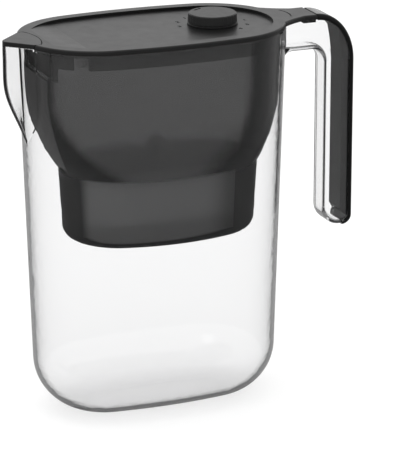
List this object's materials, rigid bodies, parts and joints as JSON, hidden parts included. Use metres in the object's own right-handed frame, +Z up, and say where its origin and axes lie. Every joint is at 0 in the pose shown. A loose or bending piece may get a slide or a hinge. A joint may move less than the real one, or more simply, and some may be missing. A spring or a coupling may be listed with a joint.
{
  "type": "water filter pitcher",
  "caption": "Slim clear water filter pitcher with smoke-grey upper tank, dark lid with pour flap and timer dial, hanging handle and a drop-in filter cartridge.",
  "frame": {"origin": "centre of the flat base that the jug stands on", "axes": "+Z up, -X towards the spout, +X towards the handle, the XZ plane is the plane of symmetry of the jug"},
  "size_m": [0.2485, 0.1098, 0.2684],
  "materials": {
    "clear_jug": "clear polished",
    "black_trim": "satin gloss",
    "smoke_tank": "translucent smoke",
    "lid_grey": "fine matt texture",
    "dial_black": "satin",
    "pin_steel": "drawn",
    "seal_rubber": "soft silicone",
    "filter_white": "satin",
    "felt": "pressed felt",
    "carbon": "granules",
    "resin": "beads"
  },
  "bodies": {
    "jug": {"jug_shell": "clear_jug", "handle_cover": "black_trim"},
    "reservoir": {"reservoir": "smoke_tank"},
    "lid": {"lid_shell": "lid_grey", "flap_hinge_pin": "pin_steel"},
    "flap": {"spout_flap": "lid_grey"},
    "dial": {"timer_knob": "dial_black", "timer_seal": "seal_rubber", "timer_spring_washer": "pin_steel", "timer_clip": "pin_steel"},
    "cartridge": {"cartridge_shell": "filter_white", "cartridge_cap": "filter_white", "cartridge_seal": "seal_rubber", "inlet_felt": "felt", "carbon_bed": "carbon", "bed_separator": "filter_white", "resin_bed": "resin", "outlet_felt": "felt"}
  },
  "joints": [
    {"name": "reservoir_lift", "type": "slide", "parent": "jug", "child": "reservoir", "axis": [0, 0, 1], "range_m": [0, 0.16]},
    {"name": "lid_lift", "type": "slide", "parent": "reservoir", "child": "lid", "axis": [0, 0, 1], "range_m": [0, 0.1]},
    {"name": "cartridge_lift", "type": "slide", "parent": "reservoir", "child": "cartridge", "axis": [0, 0, 1], "range_m": [0, 0.05]},
    {"name": "flap_swing", "type": "hinge", "parent": "lid", "child": "flap", "pos_m": [-0.0855, 0, 0.2611], "axis": [0, 1, 0], "range_deg": [0, 70]},
    {"name": "dial_turn", "type": "hinge", "parent": "lid", "child": "dial", "pos_m": [0.0432, 0, 0.2606], "axis": [0, 0, 1], "continuous": true}
  ]
}
